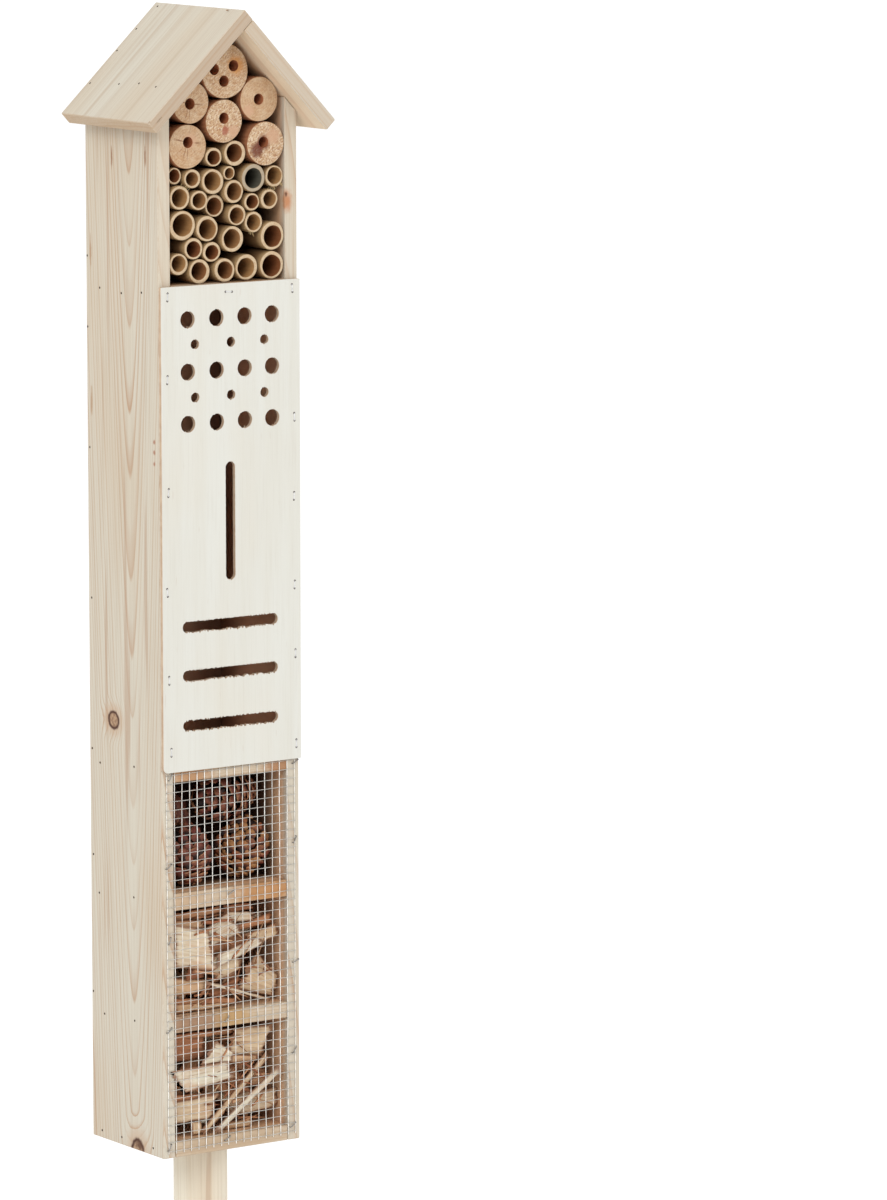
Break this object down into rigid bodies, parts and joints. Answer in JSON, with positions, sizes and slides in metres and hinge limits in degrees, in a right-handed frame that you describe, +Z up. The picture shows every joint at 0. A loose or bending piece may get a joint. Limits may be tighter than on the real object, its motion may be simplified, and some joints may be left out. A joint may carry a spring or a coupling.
{
  "type": "insect hotel",
  "caption": "Tall narrow timber insect hotel on a ground stake: gable roof, drilled logs, bamboo tubes, drilled and slotted panel, and wire-fronted boxes of pine cones and wood chips.",
  "frame": {"origin": "on the stake's axis at the soil line, 180 mm below the underside of the house", "axes": "+Z up along the stake, +Y from the front to the back, +X to the right as seen from the front"},
  "size_m": [0.1548, 0.115, 1.1997],
  "materials": {
    "pine": "sawn and sanded pale pine, untreated",
    "plywood": "pale birch-faced plywood, sanded, with rough brown cut edges in the holes",
    "log_wood": "round rods with sawn end grain",
    "bamboo": "dry bamboo cane, smooth skin, sawn rims",
    "pine_cone": "dry red-brown scales with tan tips",
    "chip_wood": "freshly split, fibrous",
    "stake_wood": "turned pale softwood, sawn point",
    "wire": "galvanised welded wire",
    "screw": "zinc-plated"
  },
  "bodies": {
    "root": {"side_left": "pine", "side_right": "pine", "back_panel": "pine", "roof_left": "pine", "roof_right": "pine", "tube_shelf": "pine", "panel_shelf": "pine", "cone_shelf": "pine", "chip_shelf": "pine", "base_plate": "pine", "front_panel": "plywood", "wire_mesh": "wire", "stake": "stake_wood", "stake_screw": "screw", "log_top": "log_wood", "log_upper_left": "log_wood", "log_upper_right": "log_wood", "log_centre": "log_wood", "log_lower_left": "log_wood", "log_lower_right": "log_wood", "bamboo_tube_01": "bamboo", "bamboo_tube_02": "bamboo", "bamboo_tube_03": "bamboo", "bamboo_tube_04": "bamboo", "bamboo_tube_05": "bamboo", "bamboo_tube_06": "bamboo", "bamboo_tube_07": "bamboo", "bamboo_tube_08": "bamboo", "bamboo_tube_09": "bamboo", "bamboo_tube_10": "bamboo", "bamboo_tube_11": "bamboo", "bamboo_tube_12": "bamboo", "bamboo_tube_13": "bamboo", "bamboo_tube_14": "bamboo", "bamboo_tube_15": "bamboo", "bamboo_tube_16": "bamboo", "bamboo_tube_17": "bamboo", "bamboo_tube_18": "bamboo", "bamboo_tube_19": "bamboo", "bamboo_tube_20": "bamboo", "bamboo_tube_21": "bamboo", "bamboo_tube_22": "bamboo", "bamboo_tube_23": "bamboo", "bamboo_tube_24": "bamboo", "bamboo_tube_25": "bamboo", "bamboo_tube_26": "bamboo", "bamboo_tube_27": "bamboo", "pine_cone_1": "pine_cone", "pine_cone_2": "pine_cone", "pine_cone_3": "pine_cone", "wood_chip_01": "chip_wood", "wood_chip_02": "chip_wood", "wood_chip_03": "chip_wood", "wood_chip_04": "chip_wood", "wood_chip_05": "chip_wood", "wood_chip_06": "chip_wood", "wood_chip_07": "chip_wood", "wood_chip_08": "chip_wood", "wood_chip_09": "chip_wood", "wood_chip_10": "chip_wood"}
  },
  "joints": []
}
